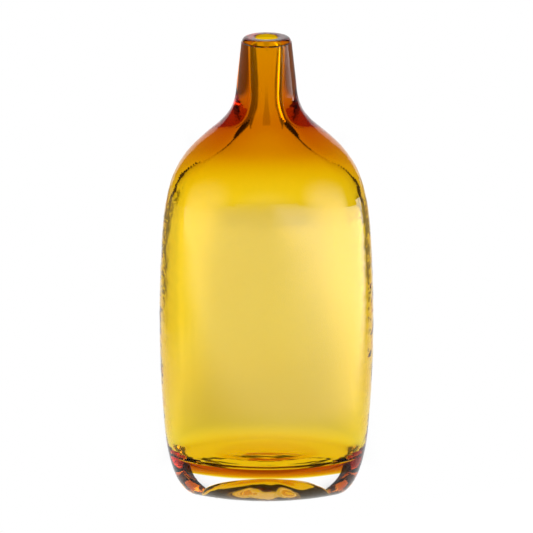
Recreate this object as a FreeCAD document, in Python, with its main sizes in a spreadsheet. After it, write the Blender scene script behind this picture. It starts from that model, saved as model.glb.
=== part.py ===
import FreeCAD, Part
import math
import os

import Sketcher

# Glass bud vase: a flattened, mould-shaped bottle of amber glass on a heavy clear glass base.
# The amber body is the blown bubble: its walls, floor, shoulder and thick neck, with the bore.
# The clear base is a second gather, picked up hot around the lower end of the bubble: thick
# below, it wraps the heel and thins out to nothing a little way up the sides.
# Origin: the centre of the surface that the vase stands on. +Z is up, +X is along the width.

DOC = FreeCAD.newDocument("glass_bud_vase")
SHEET_NAME = "Sizes"

# Driving dimensions, in millimetres unless the note says otherwise.
DIMENSIONS = [
    ("total_height", 220.0, "standing surface to the top of the lip"),
    ("oval_share", 0.29, "no unit: 0 gives boxy ovals, 1 gives pointed ones"),
    ("belly_level", 80.0, "level where the body is widest"),
    ("belly_half_width", 50.0, "largest half width, along X"),
    ("belly_half_depth", 30.0, "largest half depth, along Y"),
    ("foot_half_width", 35.0, "flat foot, along X"),
    ("foot_half_depth", 12.6, "flat foot, along Y"),
    ("heel_power", 1.75, "no unit: 1 tapers the depth evenly to the foot, more keeps it full"),
    ("root_level", 193.0, "root of the neck, round from here up"),
    ("root_radius", 14.3, "outside of the neck at its root"),
    ("lip_radius", 11.3, "outside of the lip, before its edge is rounded"),
    ("lip_round", 2.4, "fire-polished outer edge of the lip"),
    ("base_thickness", 14.6, "clear glass under the amber"),
    ("keel_half_width", 39.5, "flat underside of the amber, along X"),
    ("keel_half_depth", 21.9, "flat underside of the amber, along Y"),
    ("keel_reach", 60.0, "radius that clears the widest part of the vase"),
    ("floor_thickness", 4.4, "amber glass under the cavity"),
    ("glass_wall", 2.6, "glass on the sides"),
    ("well_half_width", 38.0, "flat floor of the cavity, along X"),
    ("well_half_depth", 20.5, "flat floor of the cavity, along Y"),
    ("bore_level", 194.0, "lower end of the straight bore"),
    ("bore_radius", 5.0, "straight bore of the neck"),
    ("mouth_round", 1.6, "fire-polished inner edge of the lip"),
    ("punt_half_width", 32.0, "domed hollow under the foot, along X"),
    ("punt_half_depth", 10.8, "domed hollow under the foot, along Y"),
    ("punt_height", 12.0, "domed hollow under the foot"),
]

# Free-form stretches of the three surfaces: (level, half width) of each station.
STATIONS = {
    # Outer surface: rounded heel, from the foot to the lower side.
    "heel": [(2.2, 38.6), (7.2, 42.1), (15.5, 45.2), (27.0, 47.4)],
    # Outer surface: shoulder and hollow flare, from the upper side to the root of the neck.
    "shoulder": [
        (132.0, 48.0), (145.0, 46.0), (156.0, 42.6), (165.0, 37.3),
        (172.0, 30.8), (177.5, 24.4), (182.5, 19.1), (187.5, 15.9),
    ],
    # Cavity: bowl-shaped floor, then the inner shoulder down to the throat of the neck.
    "bowl": [(19.9, 41.2), (22.6, 43.7), (27.0, 45.0), (34.5, 45.9), (44.0, 46.6)],
    "vault": [
        (143.0, 43.4), (152.0, 40.4), (159.0, 35.6), (165.0, 28.0),
        (170.0, 18.6), (175.0, 11.6), (180.0, 8.0), (185.0, 6.2), (189.5, 5.3),
    ],
}

# Underside of the amber, where the clear base meets it: (level, half width, half depth) of each
# station above its flat. It follows the outer surface up from a few millimetres inside it,
# crosses it after the seventh station, and goes on outside it.
KEEL_STATIONS = [
    (15.0, 41.4, 23.8), (16.2, 42.8, 25.2), (18.2, 43.9, 26.2), (20.8, 44.9, 27.1),
    (24.0, 45.8, 27.9), (27.8, 46.7, 28.6), (32.0, 47.5, 29.1), (36.5, 48.5, 29.9),
    (41.2, 49.8, 31.0), (46.0, 51.4, 32.4),
]

# Stations on the barrel-shaped sides: share of the way from the belly to the end of the side.
SIDE_SHARES = [0.25, 0.5, 0.75]
# Stations on the tapering neck: share of the way from its root to the lip.
NECK_SHARES = [0.25, 0.5, 0.75, 1.0]
# Stations on the dome of the punt: share of its height.
PUNT_SHARES = [0.0, 0.33, 0.62, 0.83, 0.96]


def make_sheet():
    """Write the driving dimensions and the stations into a spreadsheet, one alias each."""
    rows = list(DIMENSIONS)
    for stretch, stations in STATIONS.items():
        for number, (level, half_width) in enumerate(stations, start=1):
            rows.append((f"{stretch}{number}_level", level, "station level"))
            rows.append((f"{stretch}{number}_half_width", half_width, "station half width"))
    for number, (level, half_width, half_depth) in enumerate(KEEL_STATIONS, start=1):
        rows.append((f"keel{number}_level", level, "station level"))
        rows.append((f"keel{number}_half_width", half_width, "station half width"))
        rows.append((f"keel{number}_half_depth", half_depth, "station half depth"))
    sheet = DOC.addObject("Spreadsheet::Sheet", SHEET_NAME)
    for row, (alias, value, note) in enumerate(rows, start=1):
        sheet.set(f"A{row}", alias)
        sheet.set(f"B{row}", str(value))
        sheet.set(f"C{row}", note)
        sheet.setAlias(f"B{row}", alias)
    DOC.recompute()
    return sheet


def cell(alias):
    """The expression that reads one driving dimension."""
    return f"{SHEET_NAME}.{alias}"


def origin_plane(body, role):
    """One of the body's own origin planes."""
    return next(f for f in body.Origin.OriginFeatures if f.Role == role)


def new_body(label):
    """An empty body that carries the sub-part's name."""
    body = DOC.addObject("PartDesign::Body", label)
    body.Label = label
    return body


def horizontal_sketch(body, name, level):
    """An empty sketch in the body, parallel to its XY plane, at a level given as an expression."""
    sketch = body.newObject("Sketcher::SketchObject", name)
    sketch.AttachmentSupport = (origin_plane(body, "XY_Plane"), [""])
    sketch.MapMode = "FlatFace"
    sketch.setExpression("AttachmentOffset.Base.z", level)
    return sketch


def corner_expressions(half_width, half_depth):
    """End radius of a four-arc oval, and the point where its end arc meets its long arc."""
    share = cell("oval_share")
    radius = f"(({half_depth}) - {share} * ({half_width})) / (1 - {share})"
    cosine = f"2 * {share} / (1 + {share} * {share})"
    sine = f"(1 - {share} * {share}) / (1 + {share} * {share})"
    corner_x = f"({half_width}) - ({radius}) * (1 - {cosine})"
    corner_y = f"({radius}) * {sine}"
    return radius, corner_x, corner_y


def add_oval(body, name, level, half_width, half_depth):
    """A horizontal oval of four tangent arcs; level and sizes are expressions."""
    sketch = horizontal_sketch(body, name, level)
    expressions = corner_expressions(half_width, half_depth)
    radius, corner_x, corner_y = [float(sketch.evalExpression(e)) for e in expressions]
    right = FreeCAD.Vector(float(sketch.evalExpression(half_width)), 0, 0)
    back = FreeCAD.Vector(0, float(sketch.evalExpression(half_depth)), 0)
    corners = [
        FreeCAD.Vector(side_x * corner_x, side_y * corner_y, 0)
        for side_x, side_y in ((1, -1), (1, 1), (-1, 1), (-1, -1))
    ]
    for index, middle in enumerate((right, back, -right, -back)):
        arc = Part.Arc(corners[index], middle, corners[(index + 1) % 4])
        sketch.addGeometry(arc, False)
    start_point, end_point, origin_point = 1, 2, 1
    x_axis, y_axis = -1, -2
    sketch.addConstraint([
        Sketcher.Constraint("Tangent", 0, end_point, 1, start_point),
        Sketcher.Constraint("Coincident", 1, end_point, 2, start_point),
        Sketcher.Constraint("Coincident", 2, end_point, 3, start_point),
        Sketcher.Constraint("Coincident", 3, end_point, 0, start_point),
        Sketcher.Constraint("Symmetric", 0, end_point, 1, end_point, y_axis),
        Sketcher.Constraint("Symmetric", 0, start_point, 0, end_point, x_axis),
        Sketcher.Constraint("Symmetric", 0, end_point, 2, end_point, x_axis, origin_point),
        Sketcher.Constraint("Equal", 0, 2),
        Sketcher.Constraint("Equal", 1, 3),
    ])
    to_corner = (x_axis, origin_point, 0, end_point)
    named = [
        ("end_radius", Sketcher.Constraint("Radius", 0, radius)),
        ("corner_x", Sketcher.Constraint("DistanceX", *to_corner, corner_x)),
        ("corner_y", Sketcher.Constraint("DistanceY", *to_corner, corner_y)),
    ]
    for (label, constraint), expression in zip(named, expressions):
        sketch.renameConstraint(sketch.addConstraint(constraint), label)
        sketch.setExpression(f"Constraints.{label}", expression)
    return sketch


def add_loft(body, kind, name, sections):
    """Smooth loft through sections of (level, half width, half depth), all expressions."""
    sketches = [
        add_oval(body, f"{name}_{number}", *section)
        for number, section in enumerate(sections, start=1)
    ]
    DOC.recompute()
    loft = body.newObject(f"PartDesign::{kind}", name)
    loft.Profile = sketches[0]
    loft.Sections = sketches[1:]
    DOC.recompute()
    return loft


def depth_at(half_width, end_sizes, wall="0", power="1"):
    """Half depth that goes from the belly's to an end's as the half width does."""
    wide = f"({cell('belly_half_width')} - {wall})"
    deep = f"({cell('belly_half_depth')} - {wall})"
    end_half_width, end_half_depth = end_sizes
    share = f"({wide} - ({half_width})) / ({wide} - ({end_half_width}))"
    return f"{deep} - ({deep} - ({end_half_depth})) * ({share}) ^ {power}"


def listed_sections(stretch, end_sizes, wall="0", power="1"):
    """Sections at the stations of one stretch."""
    sections = []
    for number in range(1, len(STATIONS[stretch]) + 1):
        half_width = cell(f"{stretch}{number}_half_width")
        half_depth = depth_at(half_width, end_sizes, wall, power)
        sections.append((cell(f"{stretch}{number}_level"), half_width, half_depth))
    return sections


def side_sections(end_station, shares, end_sizes, wall="0", power="1"):
    """Sections of the barrel-shaped side between the belly and one of its end stations."""
    end_level = cell(f"{end_station}_level")
    end_width = cell(f"{end_station}_half_width")
    sections = []
    for share in shares:
        level = f"{cell('belly_level')} + {share} * ({end_level} - {cell('belly_level')})"
        drop = f"{share ** 2} * ({cell('belly_half_width')} - {end_width})"
        half_width = f"{cell('belly_half_width')} - {drop} - {wall}"
        sections.append((level, half_width, depth_at(half_width, end_sizes, wall, power)))
    return sections


def neck_sections():
    """Round sections of the tapering neck, from its root to the top of the lip."""
    root_level, root_radius = cell("root_level"), cell("root_radius")
    rise = f"({cell('total_height')} - {root_level})"
    taper = f"({root_radius} - {cell('lip_radius')})"
    sections = []
    for share in [0.0] + NECK_SHARES:
        radius = f"{root_radius} - {share} * {taper}"
        sections.append((f"{root_level} + {share} * {rise}", radius, radius))
    return sections


def outer_sections():
    """Sections of the whole outside, from the foot to the top of the neck."""
    low_sizes = (cell("foot_half_width"), cell("foot_half_depth"))
    high_sizes = (cell("root_radius"), cell("root_radius"))
    power = cell("heel_power")
    belly = (cell("belly_level"), cell("belly_half_width"), cell("belly_half_depth"))
    return (
        [("0", *low_sizes)]
        + listed_sections("heel", low_sizes, power=power)
        + side_sections("heel4", SIDE_SHARES[::-1], low_sizes, power=power)
        + [belly]
        + side_sections("shoulder1", SIDE_SHARES, high_sizes)
        + listed_sections("shoulder", high_sizes)
        + neck_sections()
    )


def keel_sections():
    """Sections of the underside of the amber, from its flat to where it is outside the vase."""
    flat = (cell("base_thickness"), cell("keel_half_width"), cell("keel_half_depth"))
    return [flat] + [
        (cell(f"keel{n}_level"), cell(f"keel{n}_half_width"), cell(f"keel{n}_half_depth"))
        for n in range(1, len(KEEL_STATIONS) + 1)
    ]


def cavity_sections():
    """Sections of the hollow, from its floor to the straight bore."""
    wall = cell("glass_wall")
    floor = f"{cell('base_thickness')} + {cell('floor_thickness')}"
    low_sizes = (cell("well_half_width"), cell("well_half_depth"))
    high_sizes = (cell("bore_radius"), cell("bore_radius"))
    belly = (
        cell("belly_level"),
        f"{cell('belly_half_width')} - {wall}",
        f"{cell('belly_half_depth')} - {wall}",
    )
    return (
        [(floor, *low_sizes)]
        + listed_sections("bowl", low_sizes, wall)
        + side_sections("heel4", SIDE_SHARES[1::-1], low_sizes, wall)
        + [belly]
        + side_sections("shoulder1", SIDE_SHARES + [1.0], high_sizes, wall)
        + listed_sections("vault", high_sizes, wall)
        + [(cell("bore_level"), *high_sizes)]
    )


def rim_edges(feature, level, radius):
    """Names of the edges that lie at a level and end on a circle about the axis."""
    names = []
    for number, edge in enumerate(feature.Shape.Edges, start=1):
        ends = [vertex.Point for vertex in edge.Vertexes]
        flat = all(math.isclose(point.z, level, abs_tol=1e-4) for point in ends)
        on_rim = all(math.isclose(math.hypot(p.x, p.y), radius, rel_tol=0.05) for p in ends)
        if flat and on_rim:
            names.append(f"Edge{number}")
    return names


def add_fillet(body, name, feature, edges, alias):
    """Round the named edges of a feature with a driving dimension."""
    fillet = body.newObject("PartDesign::Fillet", name)
    fillet.Base = (feature, edges)
    fillet.setExpression("Radius", cell(alias))
    DOC.recompute()
    return fillet


def punt_sections():
    """Sections of the domed hollow under the foot, from its rim to near its crown."""
    sections = []
    for share in PUNT_SHARES:
        shrink = f"sqrt(1 - {share} ^ 2)"
        level = f"{share} * {cell('punt_height')}"
        half_width = f"{cell('punt_half_width')} * {shrink}"
        half_depth = f"{cell('punt_half_depth')} * {shrink}"
        sections.append((level, half_width, half_depth))
    return sections


def add_round(body, kind, name, level, radius, length):
    """A round pad or pocket from a level; level, radius and length are expressions."""
    sketch = horizontal_sketch(body, f"{name}_circle", level)
    value = float(sketch.evalExpression(radius))
    circle = Part.Circle(FreeCAD.Vector(0, 0, 0), FreeCAD.Vector(0, 0, 1), value)
    sketch.addGeometry(circle, False)
    centre_point, x_axis, origin_point = 3, -1, 1
    sketch.addConstraint(Sketcher.Constraint("Coincident", 0, centre_point, x_axis, origin_point))
    sketch.renameConstraint(sketch.addConstraint(Sketcher.Constraint("Radius", 0, value)), "radius")
    sketch.setExpression("Constraints.radius", radius)
    feature = body.newObject(f"PartDesign::{kind}", name)
    feature.Profile = sketch
    feature.setExpression("Length", length)
    DOC.recompute()
    return feature


def add_boolean(body, kind, name, tool):
    """Combine the body with a tool body."""
    boolean = body.newObject("PartDesign::Boolean", name)
    boolean.Type = kind
    boolean.setObjects([tool])
    DOC.recompute()
    return boolean


def build_keel(label):
    """Tool body: everything above the underside of the amber."""
    body = new_body(label)
    add_loft(body, "AdditiveLoft", f"{label}_hull", keel_sections())
    top = cell(f"keel{len(KEEL_STATIONS)}_level")
    add_round(body, "Pad", f"{label}_block", top, cell("keel_reach"), cell("total_height"))
    return body


def build_clear_base():
    """Clear glass below the amber, around the heel and a little way up the sides."""
    tool = build_keel("base_keel")
    body = new_body("clear_base")
    add_loft(body, "AdditiveLoft", "base_outside", outer_sections())
    add_boolean(body, "Cut", "base_top", tool)
    add_loft(body, "SubtractiveLoft", "punt", punt_sections())
    return body


def build_amber_body(sheet):
    """Amber glass: walls, floor, shoulder and thick neck around the cavity and the bore."""
    tool = build_keel("body_keel")
    body = new_body("amber_body")
    add_loft(body, "AdditiveLoft", "body_outside", outer_sections())
    add_boolean(body, "Common", "body_underside", tool)
    add_loft(body, "SubtractiveLoft", "cavity", cavity_sections())
    bore_length = f"{cell('total_height')} - {cell('bore_level')}"
    bore = add_round(body, "Pocket", "bore", cell("total_height"), cell("bore_radius"), bore_length)
    mouth = rim_edges(bore, sheet.total_height, sheet.bore_radius)
    mouth_edge = add_fillet(body, "mouth_edge", bore, mouth, "mouth_round")
    lip = rim_edges(mouth_edge, sheet.total_height, sheet.lip_radius)
    add_fillet(body, "lip_edge", mouth_edge, lip, "lip_round")
    return body


def check_document(bodies):
    """Stop if any object failed or any sub-part has no valid shape."""
    for item in DOC.Objects:
        if "Invalid" in item.State or "Error" in item.State:
            raise RuntimeError(f"{item.Name} failed to recompute: {item.State}")
    for body in bodies:
        if body.Shape.isNull() or not body.Shape.isValid():
            raise RuntimeError(f"{body.Label} has no valid shape")


def export(bodies):
    """Write each sub-part to its own STEP file, named after its node."""
    os.makedirs("parts", exist_ok=True)
    for body in bodies:
        body.Shape.exportStep(f"parts/{body.Label}.step")
        box = body.Shape.BoundBox
        print(
            f"{body.Label}: {len(body.Shape.Solids)} solid, {len(body.Shape.Faces)} faces, "
            f"{body.Shape.Volume / 1000:.1f} cm3, "
            f"{box.XLength:.2f} x {box.YLength:.2f} x {box.ZLength:.2f} mm"
        )


SIZE_SHEET = make_sheet()
BODIES = [build_clear_base(), build_amber_body(SIZE_SHEET)]
DOC.recompute()
check_document(BODIES)
export(BODIES)
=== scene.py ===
"""Glass bud vase: an amber glass bottle on a heavy clear glass base.

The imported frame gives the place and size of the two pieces. This script dresses them as
hand-made glass: one closed mesh per gather, with rounded lip, bore, cavity, seed bubbles,
mould ripples and the wavy line where the two gathers are fused.
"""
import logging
import math
from collections.abc import Callable, Iterable, Sequence
from dataclasses import dataclass, field
from enum import Enum

import bmesh
import bpy
import numpy as np
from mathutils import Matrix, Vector, noise


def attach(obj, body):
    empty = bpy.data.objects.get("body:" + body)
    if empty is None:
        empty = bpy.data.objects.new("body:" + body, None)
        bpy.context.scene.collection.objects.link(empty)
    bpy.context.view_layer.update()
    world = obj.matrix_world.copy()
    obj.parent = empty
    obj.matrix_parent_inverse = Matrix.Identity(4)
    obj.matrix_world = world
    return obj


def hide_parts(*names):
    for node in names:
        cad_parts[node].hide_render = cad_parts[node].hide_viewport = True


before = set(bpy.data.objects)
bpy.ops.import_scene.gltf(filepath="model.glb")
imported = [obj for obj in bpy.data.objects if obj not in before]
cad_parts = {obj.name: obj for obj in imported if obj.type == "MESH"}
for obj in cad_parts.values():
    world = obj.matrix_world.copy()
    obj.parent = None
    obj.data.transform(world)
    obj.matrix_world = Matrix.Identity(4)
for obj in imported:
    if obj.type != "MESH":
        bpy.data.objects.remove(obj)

LOG = logging.getLogger("glass_bud_vase")

MM = 0.001
"""One millimetre in the frame's metres."""

GLASS_IOR = 1.5
"""Index of both gathers against air."""

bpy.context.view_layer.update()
"""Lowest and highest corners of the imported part."""

Ring = Callable[[float], Vector]
"""A closed ring of a surface: it gives the place of the vertex that has a turn about the axis."""

Amount = bpy.types.NodeSocket | float
"""A number in a node tree: a constant, or the output of another node."""


def around(turn: float, laps: float, seed: float) -> Vector:
    """Give a point on a circle, where noise closes up after a whole turn.

    Args:
        turn: Turn about the axis.
        laps: The circle's radius. A larger one gives more waves in a turn.
        seed: The circle's level, which picks other waves.

    Returns:
        The point.
    """
    return Vector((math.cos(turn) * laps, math.sin(turn) * laps, seed))


# --------------------------------------------------------------------------- sections


@dataclass(frozen=True)
class Oval:
    """One horizontal section of the vase: a four-centred oval at a level."""

    level: float
    half_width: float
    half_depth: float

    SHARE = 0.29
    """How pointed the ends are: 0 is boxy, 1 is pointed."""

    def point(self, turn: float) -> Vector:
        """Find a point of the outline.

        Args:
            turn: The eccentric angle of the point, 0 at +X and a quarter turn at +Y.

        Returns:
            The point at the section's level.
        """
        normal = math.atan2(
            max(self.half_width, 1e-9) * math.sin(turn), max(self.half_depth, 1e-9) * math.cos(turn)
        )
        across, along = abs(math.cos(normal)), abs(math.sin(normal))
        end = (self.half_depth - self.SHARE * self.half_width) / (1 - self.SHARE)
        reach = self.half_width - end
        junction_cos = 2 * self.SHARE / (1 + self.SHARE**2)
        side = end + reach / junction_cos
        if across >= junction_cos:
            x, y = reach + end * across, end * along
        else:
            x, y = side * across, side * along - (side - self.half_depth)
        x, y = math.copysign(x, math.cos(normal)), math.copysign(y, math.sin(normal))
        return Vector((x, y, self.level))


def natural_spline(knots: np.ndarray, values: np.ndarray) -> Callable[[float], float]:
    """Make the natural cubic spline through some values.

    Args:
        knots: Rising parameters, one per value.
        values: What the spline passes through.

    Returns:
        A function from a parameter to the spline's value there.
    """
    spans = np.diff(knots)
    count = len(knots)
    matrix = np.eye(count)
    right = np.zeros(count)
    for i in range(1, count - 1):
        matrix[i, i - 1 : i + 2] = spans[i - 1], 2 * (spans[i - 1] + spans[i]), spans[i]
        rise = np.diff(values[i - 1 : i + 2]) / spans[i - 1 : i + 1]
        right[i] = 6 * (rise[1] - rise[0])
    bend = np.linalg.solve(matrix, right)

    def value(at: float) -> float:
        """Evaluate the spline at one parameter."""
        i = np.clip(np.searchsorted(knots, at) - 1, 0, count - 2)
        step, low, high = spans[i], at - knots[i], knots[i + 1] - at
        return (
            (bend[i] * high**3 + bend[i + 1] * low**3) / (6 * step)
            + (values[i] / step - bend[i] * step / 6) * high
            + (values[i + 1] / step - bend[i + 1] * step / 6) * low
        )

    return value


class Outline:
    """A smooth side outline through stations of (level, half width), in millimetres."""

    def __init__(self, stations: Sequence[tuple[float, float]], depth: Callable[[float], float]) -> None:
        """Fit the outline.

        Args:
            stations: Level and half width of each station, from one end to the other.
            depth: Gives the half depth of the section that has a half width.
        """
        points = np.array(stations)
        chords = np.hypot(*np.diff(points, axis=0).T)
        self.knots = np.concatenate([[0.0], np.cumsum(chords)])
        self.level = natural_spline(self.knots, points[:, 0])
        self.half_width = natural_spline(self.knots, points[:, 1])
        self.depth = depth
        self.table = np.linspace(0.0, self.length, 3000)
        self.levels, self.half_widths = self.level(self.table), self.half_width(self.table)

    @property
    def length(self) -> float:
        """Length of the outline's chords."""
        return float(self.knots[-1])

    def at(self, place: float) -> Oval:
        """Return the section at a place along the outline, in metres."""
        half_width = float(np.interp(place, self.table, self.half_widths))
        level = float(np.interp(place, self.table, self.levels))
        return Oval(level * MM, half_width * MM, self.depth(half_width) * MM)

    def place_of_level(self, level: float) -> float:
        """Find where a rising outline passes a level.

        Args:
            level: The level in millimetres.

        Returns:
            The place along the outline.
        """
        return float(np.interp(level, self.levels, self.table))


@dataclass(frozen=True)
class DepthLaw:
    """Half depth of a section that goes evenly from the belly's to an end's."""

    belly: tuple[float, float]
    low_end: tuple[float, float]
    high_end: tuple[float, float]

    low_power: float = 1.0

    def below(self, half_width: float) -> float:
        """Half depth of a section below the belly."""
        return self._between(half_width, self.low_end, self.low_power)

    def above(self, half_width: float) -> float:
        """Half depth of a section above the belly."""
        return self._between(half_width, self.high_end, 1.0)

    def _between(self, half_width: float, end: tuple[float, float], power: float) -> float:
        """Half depth on the law between the belly and one end.

        Args:
            half_width: The section's half width.
            end: Half width and half depth at the end.
            power: 1 for a straight law, and more to keep the depth for longer.

        Returns:
            The section's half depth.
        """
        share = max(0.0, (self.belly[0] - half_width) / (self.belly[0] - end[0]))
        return self.belly[1] - share**power * (self.belly[1] - end[1])


# --------------------------------------------------------------------------- the vase's shape


@dataclass(frozen=True)
class VaseShape:
    """Sizes of the vase in millimetres, and the surfaces that they make."""

    height: float = 220.0
    belly_level: float = 80.0
    belly: tuple[float, float] = (50.0, 30.0)
    foot: tuple[float, float] = (35.0, 12.6)
    foot_flat: tuple[float, float] = (33.0, 34.0)
    root_level: float = 193.0
    root_radius: float = 14.3
    lip_radius: float = 11.3
    lip_round: float = 2.4
    mouth_round: float = 1.6
    bore_radius: float = 5.0
    bore_level: float = 194.0
    wall: float = 2.6
    well: tuple[float, float] = (38.0, 20.5)
    well_level: float = 19.0
    kick_height: float = 1.2
    kick_share: float = 0.62
    heel_power: float = 1.75
    keel_level: float = 14.6
    keel_sag: float = 0.3
    keel_inset: float = 5.5
    feather_level: float = 36.0
    punt: tuple[float, float] = (32.0, 10.8)
    punt_height: float = 12.0
    heel_stations: tuple[tuple[float, float], ...] = (
        (0.0, 35.0), (2.2, 38.6), (7.2, 42.1), (15.5, 45.2), (27.0, 47.4),
    )
    shoulder_stations: tuple[tuple[float, float], ...] = (
        (132.0, 48.0), (145.0, 46.0), (156.0, 42.6), (165.0, 37.3),
        (172.0, 30.8), (177.5, 24.4), (182.5, 19.1), (187.5, 15.9),
    )
    bowl_stations: tuple[tuple[float, float], ...] = (
        (19.0, 38.0), (19.9, 41.2), (22.6, 43.7), (27.0, 45.0), (34.5, 45.9), (44.0, 46.6),
    )
    vault_stations: tuple[tuple[float, float], ...] = (
        (143.0, 43.4), (152.0, 40.4), (159.0, 35.6), (165.0, 28.0),
        (170.0, 18.6), (175.0, 11.6), (180.0, 8.0), (185.0, 6.2), (189.5, 5.3), (194.0, 5.0),
    )

    def barrel(self, level: float, end: tuple[float, float], wall: float = 0.0) -> tuple[float, float]:
        """Give a station of the barrel-shaped side.

        Args:
            level: Level of the station.
            end: Level and outer half width where the side ends.
            wall: How far inside the outer surface the station lies.

        Returns:
            Level and half width of the station.
        """
        share = (level - self.belly_level) / (end[0] - self.belly_level)
        return level, self.belly[0] - share**2 * (self.belly[0] - end[1]) - wall

    def outer(self) -> tuple[Outline, Outline]:
        """Make the outside, as an outline below the belly and one above it."""
        law = DepthLaw(self.belly, self.foot, (self.root_radius, self.root_radius), self.heel_power)
        low_end, high_end = self.heel_stations[-1], self.shoulder_stations[0]
        below = [(0.0, half_width) for half_width in self.foot_flat]
        below += self.heel_stations
        below += [self.barrel(level, low_end) for level in (40.0, 53.0, 66.5, 80.0)]
        above = [self.barrel(level, high_end) for level in (80.0, 93.0, 106.0, 119.0)]
        above += [*self.shoulder_stations, *self.neck_stations()]
        return self.joined(below, above, law)

    def neck_stations(self) -> list[tuple[float, float]]:
        """Stations of the tapering neck, up to where the lip begins to round over."""
        top = self.height - self.lip_round
        rise = self.height - self.root_level
        stations = []
        for share in np.linspace(0.0, 1.0, 5):
            level = self.root_level + share * (top - self.root_level)
            taper = (level - self.root_level) / rise * (self.root_radius - self.lip_radius)
            stations.append((level, self.root_radius - taper))
        return stations

    def inner(self) -> tuple[Outline, Outline]:
        """Make the cavity, as an outline below the belly and one above it."""
        belly = (self.belly[0] - self.wall, self.belly[1] - self.wall)
        law = DepthLaw(belly, self.well, (self.bore_radius, self.bore_radius))
        low_end, high_end = self.heel_stations[-1], self.shoulder_stations[0]
        below = [*self.bowl_stations]
        below += [self.barrel(level, low_end, self.wall) for level in (54.0, 66.5, 80.0)]
        above = [self.barrel(level, high_end, self.wall) for level in (80.0, 93.0, 106.0, 119.0, 132.0)]
        above += self.vault_stations
        return self.joined(below, above, law)

    @staticmethod
    def joined(
        below: list[tuple[float, float]], above: list[tuple[float, float]], law: DepthLaw
    ) -> tuple[Outline, Outline]:
        """Fit one smooth outline through both lists, and give its two halves.

        Args:
            below: Stations up to the belly.
            above: Stations from the belly up.
            law: The depth law of the surface.

        Returns:
            The outline below the belly and the outline above it.
        """
        lower = Outline(below + above[1:4], law.below)
        upper = Outline(below[-4:-1] + above, law.above)
        return lower, upper


# --------------------------------------------------------------------------- ripples


@dataclass(frozen=True)
class Ripples:
    """Small waves that a mould and the blowing leave in a surface of the glass."""

    face_height: float = 0.05 * MM
    face_length: float = 26.0 * MM
    side_height: float = 0.10 * MM
    side_length: float = 6.0 * MM
    seed: float = 3.7

    def lift(self, point: Vector, sideways: float) -> float:
        """Give the height of the ripples at a point.

        Args:
            point: The point on the smooth surface.
            sideways: 0 on the flat faces of the vase and 1 on its rounded sides.

        Returns:
            How far the surface stands out there.
        """
        shift = Vector((self.seed, self.seed * 2.3, self.seed * 0.7))
        broad = noise.noise(point / self.face_length + shift)
        fine_at = Vector((point.x, point.y, point.z * 1.5)) / self.side_length
        fine = noise.noise(fine_at + shift) + 0.5 * noise.noise(fine_at * 2.1 + shift)
        return self.face_height * broad + self.side_height * fine * sideways


# --------------------------------------------------------------------------- finishes


class Wiring:
    """Short ways to add nodes to a node tree."""

    def __init__(self, tree: bpy.types.NodeTree) -> None:
        """Keep the node tree that is wired."""
        self.tree = tree

    def node(self, kind: str, **settings: object) -> bpy.types.Node:
        """Add a node and set its properties."""
        node = self.tree.nodes.new(kind)
        for name, value in settings.items():
            setattr(node, name, value)
        return node

    def feed(self, socket: bpy.types.NodeSocket, value: Amount | tuple[float, ...]) -> None:
        """Give a socket a constant, or link it to an output."""
        if isinstance(value, bpy.types.NodeSocket):
            self.tree.links.new(value, socket)
        else:
            socket.default_value = value

    def math(self, operation: str, *values: Amount) -> bpy.types.NodeSocket:
        """Add a math node.

        Args:
            operation: The operation's name.
            values: Its inputs, as constants or outputs of other nodes.

        Returns:
            The node's output.
        """
        node = self.node("ShaderNodeMath", operation=operation)
        for socket, value in zip(node.inputs, values):
            self.feed(socket, value)
        return node.outputs[0]

    def ramp(
        self,
        value: Amount,
        span: tuple[float, float],
        levels: tuple[Amount, Amount],
        kind: str = "SMOOTHSTEP",
    ) -> bpy.types.NodeSocket:
        """Go from one level to another as a value passes a span.

        Args:
            value: What decides how far along it is.
            span: Where the change begins and where it is complete.
            levels: The results before the span and after it.
            kind: SMOOTHSTEP for a soft change, or LINEAR.

        Returns:
            The output that holds the result.
        """
        node = self.node("ShaderNodeMapRange", interpolation_type=kind)
        names = ("Value", "From Min", "From Max", "To Min", "To Max")
        for name, number in zip(names, (value, *span, *levels)):
            self.feed(node.inputs[name], number)
        return node.outputs["Result"]

    def place(self) -> bpy.types.NodeSocket:
        """Give the place on the object, in its own metres."""
        return self.node("ShaderNodeTexCoord").outputs["Object"]

    def split(self) -> tuple[bpy.types.NodeSocket, bpy.types.NodeSocket, bpy.types.NodeSocket]:
        """Give X, Y and Z of the place on the object."""
        node = self.node("ShaderNodeSeparateXYZ")
        self.feed(node.inputs[0], self.place())
        return node.outputs["X"], node.outputs["Y"], node.outputs["Z"]


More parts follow.
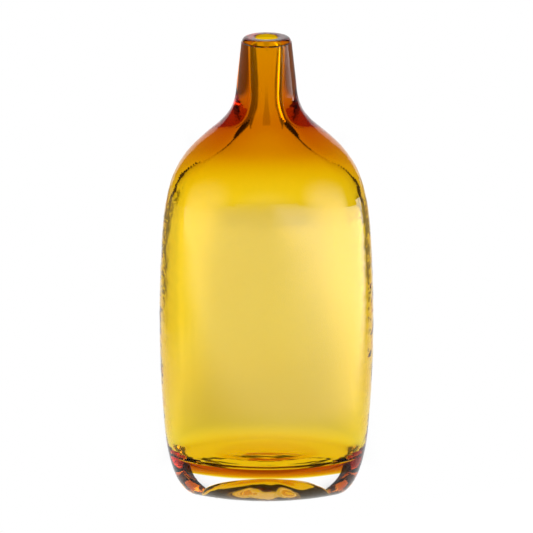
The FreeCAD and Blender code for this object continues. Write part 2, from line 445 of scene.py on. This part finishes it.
@dataclass(frozen=True)
class GlassFinish:
    """One colour of glass, as a clear surface around a volume that takes light away."""

    name: str
    colour: tuple[float, float, float]
    density: float
    haze: float
    cord_height: float
    haze_scale: float = 60.0
    haze_detail: float = 4.0
    haze_span: tuple[float, float] = (0.45, 0.75)
    cord_stretch: tuple[float, float, float] = (420.0, 420.0, 9.0)
    cord_detail: float = 3.0
    gleam_stops: tuple[tuple[float, float], ...] = ((0.12, 0.05), (0.24, 0.9), (0.60, 1.0), (0.78, 0.0))

    def material(self) -> bpy.types.Material:
        """Make the material.

        Returns:
            A refracting material with cords and faint haze in its surface, and no
            refraction where the mesh says that it is fused to the other gather.
        """
        material = bpy.data.materials.new(self.name)
        material.use_nodes = True
        nodes = material.node_tree.nodes
        wiring = Wiring(material.node_tree)
        fused = wiring.node("ShaderNodeAttribute", attribute_name="fused").outputs["Fac"]
        surface = {
            "Base Color": (1.0, 1.0, 1.0, 1.0),
            "Transmission Weight": 1.0,
            "IOR": wiring.math("MULTIPLY_ADD", fused, 1.0 - GLASS_IOR, GLASS_IOR),
            "Specular Tint": self.gleam(wiring),
            "Roughness": wiring.math("MULTIPLY", self.clouds(wiring), wiring.math("SUBTRACT", 1.0, fused)),
            "Normal": self.cords(wiring),
        }
        for name, value in surface.items():
            wiring.feed(nodes["Principled BSDF"].inputs[name], value)
        absorption = wiring.node("ShaderNodeVolumeAbsorption")
        wiring.feed(absorption.inputs["Color"], (*self.colour, 1.0))
        wiring.feed(absorption.inputs["Density"], self.density)
        wiring.feed(nodes["Material Output"].inputs["Volume"], absorption.outputs[0])
        return material

    def gleam(self, wiring: Wiring) -> bpy.types.NodeSocket:
        """Let the sides gleam more than the neck and the base.

        Args:
            wiring: The material's wiring.

        Returns:
            The output that holds the strength of the surface reflection.
        """
        ramp = wiring.node("ShaderNodeValToRGB")
        ramp.color_ramp.interpolation = "EASE"
        while len(ramp.color_ramp.elements) < len(self.gleam_stops):
            ramp.color_ramp.elements.new(0.5)
        for element, (position, grey) in zip(ramp.color_ramp.elements, self.gleam_stops):
            element.position = position
            element.color = (grey, grey, grey, 1.0)
        _, _, level = wiring.split()
        wiring.feed(ramp.inputs["Fac"], wiring.math("DIVIDE", level, VaseShape.height * MM))
        return ramp.outputs["Color"]

    def clouds(self, wiring: Wiring) -> bpy.types.NodeSocket:
        """Give the surface a faint uneven haze.

        Args:
            wiring: The material's wiring.

        Returns:
            The output that holds the roughness.
        """
        cloud = wiring.node("ShaderNodeTexNoise")
        wiring.feed(cloud.inputs["Scale"], self.haze_scale)
        wiring.feed(cloud.inputs["Detail"], self.haze_detail)
        wiring.feed(cloud.inputs["Vector"], wiring.place())
        return wiring.ramp(cloud.outputs["Fac"], self.haze_span, (0.0, self.haze), "LINEAR")

    def cords(self, wiring: Wiring) -> bpy.types.NodeSocket:
        """Add cords: faint streaks that run up the glass as it was drawn out.

        Args:
            wiring: The material's wiring.

        Returns:
            The output that holds the bumped normal.
        """
        stretch = wiring.node("ShaderNodeMapping")
        wiring.feed(stretch.inputs["Scale"], self.cord_stretch)
        wiring.feed(stretch.inputs["Vector"], wiring.place())
        streaks = wiring.node("ShaderNodeTexNoise")
        wiring.feed(streaks.inputs["Scale"], 1.0)
        wiring.feed(streaks.inputs["Detail"], self.cord_detail)
        wiring.feed(streaks.inputs["Vector"], stretch.outputs["Vector"])
        bump = wiring.node("ShaderNodeBump")
        wiring.feed(bump.inputs["Strength"], 1.0)
        wiring.feed(bump.inputs["Distance"], self.cord_height)
        wiring.feed(bump.inputs["Height"], streaks.outputs["Fac"])
        return bump.outputs["Normal"]


class Glass(Enum):
    """The two glasses of the vase."""

    AMBER = GlassFinish("amber_glass", (0.9639, 0.875, 0.0), 700.0, 0.02, 0.02 * MM)
    CLEAR = GlassFinish("clear_glass", (0.90, 0.93, 0.96), 1.5, 0.01, 0.01 * MM)


# --------------------------------------------------------------------------- pieces


@dataclass
class GlassPiece:
    """A closed mesh of glass, swept as one ring of edges from pole to pole."""

    node: str
    name: str
    glass: Glass
    slot: str
    shape: VaseShape = field(default_factory=VaseShape)
    columns: int = 192

    def build(self) -> bpy.types.Object:
        """Make the piece, dress it and hand it to the frame."""
        mesh = bpy.data.meshes.new(self.name)
        bm = bmesh.new()
        self.turn_layer = bm.verts.layers.float.new("turn")
        self.fused_layer = bm.faces.layers.float.new("fused")
        self.model(bm)
        for face in bm.faces:
            face.smooth = True
        bm.to_mesh(mesh)
        bm.free()
        mesh.materials.append(self.glass.value.material())
        piece = bpy.data.objects.new(self.name, mesh)
        bpy.context.scene.collection.objects.link(piece)
        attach(piece, "root")
        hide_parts(self.node)
        LOG.info("%s: %d faces, stands for %s", self.name, len(mesh.polygons), self.node)
        return piece

    def model(self, bm: bmesh.types.BMesh) -> None:
        """Build the piece's surface in the bmesh."""
        raise NotImplementedError

    def start(self, bm: bmesh.types.BMesh) -> list[bmesh.types.BMEdge]:
        """Make the first ring, and note each vertex's turn about the axis.

        Args:
            bm: The mesh that is being built.

        Returns:
            The ring's edges.
        """
        ring = bmesh.ops.create_circle(bm, cap_ends=False, segments=self.columns, radius=1.0)
        for vert in ring["verts"]:
            vert[self.turn_layer] = math.atan2(vert.co.y, vert.co.x)
        return list({edge for vert in ring["verts"] for edge in vert.link_edges})

    def place(self, edges: Iterable[bmesh.types.BMEdge], locate: Ring) -> None:
        """Move the vertices of a ring to where a function puts them.

        Args:
            edges: The ring's edges.
            locate: Gives the place of the vertex that has a turn.
        """
        for vert in {vert for edge in edges for vert in edge.verts}:
            vert.co = locate(vert[self.turn_layer])

    def sweep(
        self,
        bm: bmesh.types.BMesh,
        edges: list[bmesh.types.BMEdge],
        rings: Iterable[Ring],
        fused: bool = False,
    ) -> list[bmesh.types.BMEdge]:
        """Extrude the last ring through more rings.

        Args:
            bm: The mesh that is being built.
            edges: The last ring's edges.
            rings: One function per new ring, from a turn to a place.
            fused: Whether this stretch is fused to the other gather.

        Returns:
            The edges of the new last ring.
        """
        for locate in rings:
            grown = bmesh.ops.extrude_edge_only(bm, edges=edges)["geom"]
            new_verts = {item for item in grown if isinstance(item, bmesh.types.BMVert)}
            for item in grown:
                if isinstance(item, bmesh.types.BMFace):
                    item[self.fused_layer] = float(fused)
            edges = [
                item
                for item in grown
                if isinstance(item, bmesh.types.BMEdge) and set(item.verts) <= new_verts
            ]
            self.place(edges, locate)
        return edges

    def close(self, bm: bmesh.types.BMesh, edges: Iterable[bmesh.types.BMEdge], pole: Vector) -> None:
        """Draw a ring together into a pole.

        Args:
            bm: The mesh that is being built.
            edges: The ring's edges.
            pole: Where the pole is.
        """
        verts = list({vert for edge in edges for vert in edge.verts})
        bmesh.ops.pointmerge(bm, verts=verts, merge_co=pole)

    def disc(self, edge_ring: Ring, centre: Vector, shares: Sequence[float]) -> list[Ring]:
        """Make rings that fill a dished disc, from near its centre to its edge.

        Args:
            edge_ring: The ring at the disc's edge.
            centre: The disc's centre.
            shares: How far out each ring lies, up to 1.

        Returns:
            One function per ring.
        """

        def locate(turn: float, share: float) -> Vector:
            """Place one vertex of a ring."""
            edge = edge_ring(turn)
            return Vector((edge.x * share, edge.y * share, centre.z + (edge.z - centre.z) * share**2))

        return [lambda turn, s=share: locate(turn, s) for share in shares]

    def feather(self, turn: float) -> float:
        """Level in millimetres where the clear glass thins out to nothing, at a turn."""
        waves = around(turn, 1.7, 0.4)
        return self.shape.feather_level + 1.2 * noise.noise(waves) + 0.5 * noise.noise(waves * 3.0)


DISC_SHARES = (0.02, 0.1, 0.2, 0.3, 0.4, 0.5, 0.6, 0.7, 0.78, 0.85, 0.9, 0.94, 0.97, 0.99, 1.0)
"""How far out the rings of a flat disc lie."""


@dataclass
class AmberBody(GlassPiece):
    """The blown amber bubble: underside, sides, shoulder, neck, lip, bore and cavity."""

    outside_ripples: Ripples = Ripples()
    inside_ripples: Ripples = Ripples(face_height=0.09 * MM, side_height=0.12 * MM, seed=9.1)
    bubble_count: int = 14

    def model(self, bm: bmesh.types.BMesh) -> None:
        """Sweep from the middle of the underside over the lip to the middle of the floor."""
        shape = self.shape
        below, above = shape.outer()
        fused = FusedSurface(shape, below, self.feather)
        edges = self.start(bm)
        underside = Vector((0.0, 0.0, (shape.keel_level - shape.keel_sag) * MM))
        rings = self.disc(fused.keel_edge, underside, DISC_SHARES)
        self.place(edges, rings[0])
        first = list(edges)
        edges = self.sweep(bm, edges, rings[1:] + fused.rings(0.0), fused=True)
        for edge in edges:
            edge.smooth = False
        edges = self.sweep(bm, edges, self.outside_rings(below, above))
        edges = self.sweep(bm, edges, self.lip_rings())
        edges = self.sweep(bm, edges, self.inside_rings())
        floor = Vector((0.0, 0.0, shape.well_level * MM))
        below_in, _ = shape.inner()
        well = below_in.at(0.0).point
        edges = self.sweep(bm, edges, self.floor_rings(well))
        self.close(bm, edges, floor + Vector((0.0, 0.0, shape.kick_height * MM)))
        self.close(bm, first, underside)
        bmesh.ops.recalc_face_normals(bm, faces=bm.faces)
        self.add_bubbles(bm)

    def rippled(self, oval: Oval, ripples: Ripples, calm: float = 1.0) -> Ring:
        """Give a ring whose outline carries ripples.

        Args:
            oval: The smooth section.
            ripples: The ripples of its surface.
            calm: 1 for full ripples and 0 for none.

        Returns:
            The ring, as a function from a turn to a place.
        """

        def locate(turn: float) -> Vector:
            """Place one vertex of the ring."""
            point = oval.point(turn)
            sideways = max(0.0, abs(math.cos(turn)) - 0.75) / 0.25
            outwards = Vector((point.x, point.y, 0.0)).normalized()
            return point + outwards * (calm * ripples.lift(point, sideways))

        return locate

    def outside_rings(self, below: Outline, above: Outline) -> list[Ring]:
        """Rings of the outside, from the feather edge of the clear glass to the lip.

        Args:
            below: The outline below the belly.
            above: The outline above the belly.

        Returns:
            One function per ring.
        """
        shape = self.shape
        rings = []
        start, end = shape.feather_level, shape.belly_level
        for share in np.linspace(0.0, 1.0, 26)[1:]:
            rings.append(self.side_ring(below, start, end, float(share)))
        first = above.place_of_level(shape.belly_level)
        for place in np.linspace(first, above.length, 110)[1:]:
            oval = above.at(float(place))
            calm = min(1.0, max(0.0, (shape.root_level * MM - oval.level) / (12 * MM)))
            rings.append(self.rippled(oval, self.outside_ripples, calm))
        return rings

    def side_ring(self, below: Outline, start: float, end: float, share: float) -> Ring:
        """Give a ring of the lower side, which begins at the uneven feather edge.

        Args:
            below: The outline below the belly.
            start: Mean level of the feather edge. Not used.
            end: Level where the rings are level again.
            share: How far up from the feather edge the ring lies.

        Returns:
            The ring, as a function from a turn to a place.
        """

        def locate(turn: float) -> Vector:
            """Place one vertex of the ring."""
            level = self.feather(turn) + share * (end - self.feather(turn))
            oval = below.at(below.place_of_level(level))
            return self.rippled(oval, self.outside_ripples, min(1.0, 4 * share))(turn)

        return locate

    def lip_rings(self) -> list[Ring]:
        """Rings of the fire-polished lip, over its top and down to the bore."""
        shape = self.shape
        rings = []
        for angle in np.linspace(0.0, math.pi / 2, 11)[1:]:
            radius = shape.lip_radius - shape.lip_round * (1 - math.cos(angle))
            level = shape.height - shape.lip_round * (1 - math.sin(angle))
            rings.append(self.round_ring(level, radius))
        top_radius = shape.lip_radius - shape.lip_round
        mouth_radius = shape.bore_radius + shape.mouth_round
        for share in (0.33, 0.67):
            rings.append(self.round_ring(shape.height, top_radius + share * (mouth_radius - top_radius)))
        for angle in np.linspace(0.0, math.pi / 2, 9):
            radius = mouth_radius - shape.mouth_round * math.sin(angle)
            level = shape.height - shape.mouth_round * (1 - math.cos(angle))
            rings.append(self.round_ring(level, radius))
        return rings

    def round_ring(self, level: float, radius: float) -> Ring:
        """Give a round ring at a level, both in millimetres."""
        return Oval(level * MM, radius * MM, radius * MM).point

    def inside_rings(self) -> list[Ring]:
        """Rings of the bore and the cavity, from the mouth down to the edge of the floor."""
        shape = self.shape
        below, above = shape.inner()
        rings = []
        top = shape.height - shape.mouth_round
        for level in np.linspace(top, shape.bore_level, 12)[1:]:
            rings.append(self.round_ring(float(level), shape.bore_radius))
        belly = above.place_of_level(shape.belly_level)
        for place in np.linspace(above.length, belly, 110)[1:]:
            oval = above.at(float(place))
            calm = min(1.0, max(0.0, (170 * MM - oval.level) / (20 * MM)))
            rings.append(self.rippled(oval, self.inside_ripples, calm))
        belly = below.place_of_level(shape.belly_level)
        for place in np.linspace(belly, 0.0, 70)[1:]:
            oval = below.at(float(place))
            calm = min(1.0, max(0.0, (oval.level - shape.well_level * MM) / (6 * MM)))
            rings.append(self.rippled(oval, self.inside_ripples, calm))
        return rings

    def floor_rings(self, well: Ring) -> list[Ring]:
        """Rings of the cavity's floor, which is pushed up over the punt.

        They lie closer together at the step where the floor begins to rise.

        Args:
            well: The ring at the floor's edge.

        Returns:
            One function per ring, from the edge inwards.
        """
        shape = self.shape

        def locate(turn: float, share: float) -> Vector:
            """Place one vertex of a ring."""
            edge = well(turn)
            rim = shape.kick_share + 0.05 * noise.noise(around(turn, 1.8, 5.0))
            rise = min(1.0, max(0.0, (rim + 0.06 - share) / 0.12))
            rise = rise * rise * (3 - 2 * rise)
            lump = noise.noise(Vector((edge.x * share, edge.y * share * 1.6, 0.0)) / (9 * MM))
            level = edge.z + (shape.kick_height * rise + 0.25 * lump * (1 - share)) * MM
            return Vector((edge.x * share, edge.y * share, level))

        rim_shares = np.linspace(0.94, 0.76, 4)
        step_shares = np.linspace(0.74, 0.5, 19)
        middle_shares = np.linspace(0.46, 0.04, 10)
        shares = np.concatenate([rim_shares, step_shares, middle_shares])
        return [lambda turn, s=float(share): locate(turn, s) for share in shares]

    def add_bubbles(self, bm: bmesh.types.BMesh) -> None:
        """Add seed bubbles: tiny hollows in the thick glass of the neck, under the lip.

        Args:
            bm: The mesh that is being built.
        """
        shape = self.shape
        dice = np.random.default_rng(11)
        middle = (shape.bore_radius + shape.lip_radius) / 2
        for _ in range(self.bubble_count):
            turn = math.radians(dice.normal(-62.0, 14.0))
            radius = (middle + dice.uniform(-1.2, 1.6)) * MM
            level = (shape.height - 2.6 - abs(dice.normal(0.0, 3.2))) * MM
            size = dice.uniform(0.12, 0.3) * MM
            made = bmesh.ops.create_icosphere(bm, subdivisions=2, radius=size)["verts"]
            centre = Vector((radius * math.cos(turn), radius * math.sin(turn), level))
            bmesh.ops.translate(bm, verts=made, vec=centre)
            faces = list({face for vert in made for face in vert.link_faces})
            bmesh.ops.reverse_faces(bm, faces=faces)


@dataclass
class FusedSurface:
    """The surface where the amber body and the clear base are fused."""

    shape: VaseShape
    outside: Outline
    feather: Callable[[float], float]
    steps: int = 36

    def point(self, turn: float, rise: float, gap: float) -> Vector:
        """Find a point of the surface.

        Args:
            turn: Turn about the axis.
            rise: 0 at the edge of the flat underside and 1 at the feather edge.
            gap: How far outside the amber the point lies, in millimetres.

        Returns:
            The point.
        """
        shape = self.shape
        top = self.feather(turn)
        level = shape.keel_level + rise**4 * (top - shape.keel_level)
        oval = self.outside.at(self.outside.place_of_level(level))
        inset = (shape.keel_inset * (1 - rise) - gap * min(1.0, 8 * (1 - rise))) * MM
        inner = Oval(oval.level, oval.half_width - inset, oval.half_depth - inset)
        return inner.point(turn) + Vector((0.0, 0.0, self.wave(turn, rise) - gap * MM))

    def wave(self, turn: float, rise: float) -> float:
        """Height of the uneven underside at a turn and rise, in metres."""
        arch = 1.2 * (math.sin(turn) ** 2 - 0.5) * (1 - rise) ** 2
        uneven = 0.5 * noise.noise(around(turn, 2.6, 1.3)) * min(1.0, 3 * rise) * (1 - rise)
        return (arch + uneven) * MM

    def keel_edge(self, turn: float, gap: float = 0.0) -> Vector:
        """Point at the edge of the flat underside, at a turn."""
        return self.point(turn, 0.0, gap)

    def rings(self, gap: float) -> list[Ring]:
        """Rings from the edge of the flat underside up to the feather edge.

        Args:
            gap: How far outside the amber they lie, in millimetres.

        Returns:
            One function per ring.
        """
        rises = np.linspace(0.0, 1.0, self.steps)[1:]
        return [lambda turn, r=float(rise): self.point(turn, r, gap) for rise in rises]


@dataclass
class ClearBase(GlassPiece):
    """The heavy clear gather: punt, foot, heel and the cup that holds the amber."""

    gap: float = 0.02

    def model(self, bm: bmesh.types.BMesh) -> None:
        """Sweep from the middle of the punt over the heel to the middle of the amber's seat."""
        shape = self.shape
        below, _ = shape.outer()
        fused = FusedSurface(shape, below, self.feather)
        edges = self.start(bm)
        rings = self.punt_rings()
        self.place(edges, rings[0])
        first = list(edges)
        edges = self.sweep(bm, edges, rings[1:])
        edges = self.sweep(bm, edges, self.heel_rings(below))
        for edge in edges:
            edge.smooth = False
        seat = Vector((0.0, 0.0, (shape.keel_level - shape.keel_sag - self.gap) * MM))
        cup = fused.rings(self.gap)[-2::-1]
        flat = self.disc(lambda turn: fused.keel_edge(turn, self.gap), seat, DISC_SHARES[::-1])
        edges = self.sweep(bm, edges, cup + flat, fused=True)
        self.close(bm, edges, seat)
        self.close(bm, first, Vector((0.0, 0.0, shape.punt_height * MM)))
        bmesh.ops.recalc_face_normals(bm, faces=bm.faces)

    def punt_rings(self) -> list[Ring]:
        """Rings of the domed hollow under the foot and of the flat that the vase stands on."""
        shape = self.shape
        rings = [lambda turn, s=share: self.punt_point(turn, s) for share in DISC_SHARES]
        inside = shape.foot_flat[0] / shape.foot[0]
        flat = [inside * size for size in shape.foot]
        for share in (0.3, 0.6, 0.9):
            half_width, half_depth = [
                (hollow + share * (edge - hollow)) * MM for hollow, edge in zip(shape.punt, flat)
            ]
            rings.append(Oval(0.0, half_width, half_depth).point)
        return rings

    def punt_point(self, turn: float, share: float) -> Vector:
        """Find a point of the punt, whose dome is as uneven as the tool left it.

        Args:
            turn: Turn about the axis.
            share: 0 in the middle of the punt and 1 at its edge.

        Returns:
            The point.
        """
        shape = self.shape
        waves = around(turn, 2.4, share * 1.5)
        ragged = 1 + 0.16 * noise.noise(waves) * math.sin(math.pi * share)
        level = shape.punt_height * math.sqrt(1 - share**2) * MM
        half_width, half_depth = [size * share * ragged * MM for size in shape.punt]
        return Oval(level, half_width, half_depth).point(turn)

    def heel_rings(self, below: Outline) -> list[Ring]:
        """Rings of the heel and the lower side, up to the feather edge.

        Args:
            below: The outer outline below the belly.

        Returns:
            One function per ring.
        """
        return [
            lambda turn, s=float(share): self.heel_point(below, turn, s)
            for share in np.linspace(0.0, 1.0, 60)
        ]

    def heel_point(self, below: Outline, turn: float, share: float) -> Vector:
        """Find a point between the foot and the feather edge.

        Args:
            below: The outer outline below the belly.
            turn: Turn about the axis.
            share: 0 at the foot and 1 at the feather edge.

        Returns:
            The point, never below the surface that the vase stands on.
        """
        oval = below.at(share * below.place_of_level(self.feather(turn)))
        point = oval.point(turn)
        point.z = max(0.0, point.z)
        return point


# --------------------------------------------------------------------------- the studio


@dataclass(frozen=True)
class SoftCard:
    """A standing light whose glow is half an oval that rises from the floor and fades out."""

    name: str
    turn: float
    distance: float
    half_width: float
    height: float
    strength: float
    core: float = 0.3

    def brightness(self, wiring: Wiring) -> bpy.types.NodeSocket:
        """Wire up the glow.

        Args:
            wiring: The card material's wiring.

        Returns:
            The output that holds the brightness.
        """
        x, y, _ = wiring.split()
        across = wiring.math("ABSOLUTE", wiring.math("DIVIDE", x, self.half_width))
        up = wiring.math("MULTIPLY_ADD", y, 1 / self.height, 0.5)
        squares = [wiring.math("POWER", value, 2.0) for value in (across, up)]
        radius = wiring.math("SQRT", wiring.math("ADD", *squares))
        return wiring.ramp(radius, (self.core, 1.0), (self.strength, 0.0))


@dataclass(frozen=True)
class FloorLight:
    """Brightness of the floor, whose places and spans are in metres.

    A white strip runs back from the vase, with grey at both sides. In front lies a pool of
    light, brighter to the right, and behind the vase a soft shade.
    """

    strip_edge: tuple[float, float] = (0.22, 0.34)
    strip_levels: tuple[float, float] = (1.0, 0.27)
    pool_edge: tuple[float, float] = (0.06, 0.2)
    pool_leans: tuple[float, float] = (0.3, 0.6)
    pool_sides: tuple[float, float] = (0.03, 0.45)
    pool_levels: tuple[float, float] = (2.2, 4.6)
    far_edge: tuple[float, float] = (1.0, 3.5)
    far_shares: tuple[float, float] = (1.0, 0.5)
    shade_side: tuple[float, float] = (0.02, 0.06)
    shade_start: tuple[float, float] = (0.02, 0.12)
    shade_end: tuple[float, float] = (0.5, 0.75)
    shade_shares: tuple[float, float] = (0.72, 1.0)

    def brightness(self, wiring: Wiring) -> bpy.types.NodeSocket:
        """Wire up how bright the floor is.

        Args:
            wiring: The floor material's wiring.

        Returns:
            The output that holds the brightness.
        """
        x, y, _ = wiring.split()
        aside = wiring.math("ABSOLUTE", x)
        ahead = wiring.math("MULTIPLY", y, -1.0)
        strip = wiring.ramp(aside, self.strip_edge, self.strip_levels)
        left_lean, right_lean = self.pool_leans
        lean = wiring.math("MULTIPLY", wiring.math("MAXIMUM", x, 0.0), right_lean)
        lean = wiring.math("MULTIPLY_ADD", wiring.math("MINIMUM", x, 0.0), left_lean, lean)
        level = wiring.ramp(x, self.pool_sides, self.pool_levels)
        far = wiring.ramp(ahead, self.far_edge, self.far_shares)
        lit = wiring.math("MULTIPLY", level, far)
        pool = wiring.ramp(wiring.math("ADD", ahead, lean), self.pool_edge, (strip, lit))
        clear = wiring.ramp(aside, self.shade_side, (0.0, 1.0))
        clear = wiring.math("MAXIMUM", clear, wiring.ramp(y, self.shade_start, (1.0, 0.0)))
        clear = wiring.math("MAXIMUM", clear, wiring.ramp(y, self.shade_end, (0.0, 1.0)))
        return wiring.math("MULTIPLY", pool, wiring.ramp(clear, (0.0, 1.0), self.shade_shares))


FRONT_CARDS = (
    SoftCard("front_card", 0.0, 3.8, 2.2, 0.6, 1.0, 0.0),
    SoftCard("left_card", math.radians(-50.0), 3.4, 1.6, 1.2, 1.9),
    SoftCard("right_card", math.radians(50.0), 3.4, 1.6, 1.2, 3.8),
)
"""The lights in front of the vase."""


@dataclass(frozen=True)
class Studio:
    """Camera, pale floor, white sweep and soft light around the vase."""

    target_level: float = 0.1107
    distance: float = 1.7
    elevation: float = math.radians(16.0)
    lens: float = 246.8
    room_grey: float = 0.05
    backdrop_size: tuple[float, float] = (1.7, 1.8)
    backdrop_distance: float = 1.2
    floor_side: float = 8.0
    floor_gap: float = 0.05 * MM
    bounces: int = 40
    glossy_bounces: int = 12

    def build(self) -> None:
        """Make everything in the studio."""
        self.camera()
        self.floor()
        self.backdrop()
        self.cards()
        self.world()
        scene = bpy.context.scene
        scene.view_settings.view_transform = "Standard"
        scene.cycles.max_bounces = self.bounces
        scene.cycles.transmission_bounces = self.bounces
        scene.cycles.glossy_bounces = self.glossy_bounces

    def camera(self) -> None:
        """Place the camera in front of the vase, looking slightly down at it."""
        data = bpy.data.cameras.new("camera")
        data.lens = self.lens
        data.clip_end = 50.0
        camera = bpy.data.objects.new("camera", data)
        bpy.context.scene.collection.objects.link(camera)
        back = self.distance * math.cos(self.elevation)
        up = self.target_level + self.distance * math.sin(self.elevation)
        camera.location = (0.0, -back, up)
        camera.rotation_euler = (math.pi / 2 - self.elevation, 0.0, 0.0)
        bpy.context.scene.camera = camera

    def sheet(
        self, name: str, size: tuple[float, float], brightness: Callable[[Wiring], Amount]
    ) -> bpy.types.Object:
        """Make a rectangle that gives its own white light.

        Args:
            name: Name of the object and its material.
            size: Its width and depth.
            brightness: Wires up its brightness, where 1 is white.

        Returns:
            The object in the XY plane, marked as part of the stage.
        """
        material = bpy.data.materials.new(name)
        material.use_nodes = True
        tree = material.node_tree
        tree.nodes.remove(tree.nodes["Principled BSDF"])
        wiring = Wiring(tree)
        light = wiring.node("ShaderNodeEmission")
        wiring.feed(light.inputs["Strength"], brightness(wiring))
        wiring.feed(tree.nodes["Material Output"].inputs["Surface"], light.outputs[0])
        mesh = bpy.data.meshes.new(name)
        bm = bmesh.new()
        bmesh.ops.create_grid(bm, x_segments=1, y_segments=1, size=0.5)
        bmesh.ops.scale(bm, verts=bm.verts, vec=(size[0], size[1], 1.0))
        bm.to_mesh(mesh)
        bm.free()
        mesh.materials.append(material)
        sheet = bpy.data.objects.new(name, mesh)
        bpy.context.scene.collection.objects.link(sheet)
        return sheet

    def floor(self) -> None:
        """Lay the pale floor that the vase stands on."""
        size = (self.floor_side, self.floor_side)
        floor = self.sheet("floor", size, FloorLight().brightness)
        floor.location = (0.0, 0.0, -self.floor_gap)

    def backdrop(self) -> None:
        """Stand a white sheet behind the vase."""
        wall = self.sheet("backdrop", self.backdrop_size, lambda wiring: 1.0)
        wall.location = (0.0, self.backdrop_distance, self.backdrop_size[1] / 2)
        wall.rotation_euler = (math.pi / 2, 0.0, 0.0)

    def cards(self) -> None:
        """Stand soft lights far in front: one low in the middle and two taller at the sides."""
        for card in FRONT_CARDS:
            sheet = self.sheet(card.name, (2 * card.half_width, card.height), card.brightness)
            sheet.location = (
                card.distance * math.sin(card.turn),
                -card.distance * math.cos(card.turn),
                card.height / 2,
            )
            sheet.rotation_euler = (math.pi / 2, 0.0, card.turn)

    def world(self) -> None:
        """Fill the rest of the room with dim grey light."""
        world = bpy.data.worlds.new("room")
        world.use_nodes = True
        background = world.node_tree.nodes["Background"]
        background.inputs["Color"].default_value = (self.room_grey, self.room_grey, self.room_grey, 1.0)
        bpy.context.scene.world = world


def main() -> None:
    """Build the studio and both pieces of glass, and report each piece."""
    logging.basicConfig(level=logging.INFO, format="%(name)s: %(message)s")
    Studio().build()
    AmberBody("amber_body", "amber_bubble", Glass.AMBER, "amber_glass").build()
    ClearBase("clear_base", "clear_foot", Glass.CLEAR, "clear_glass").build()


if __name__ == "__main__":
    main()
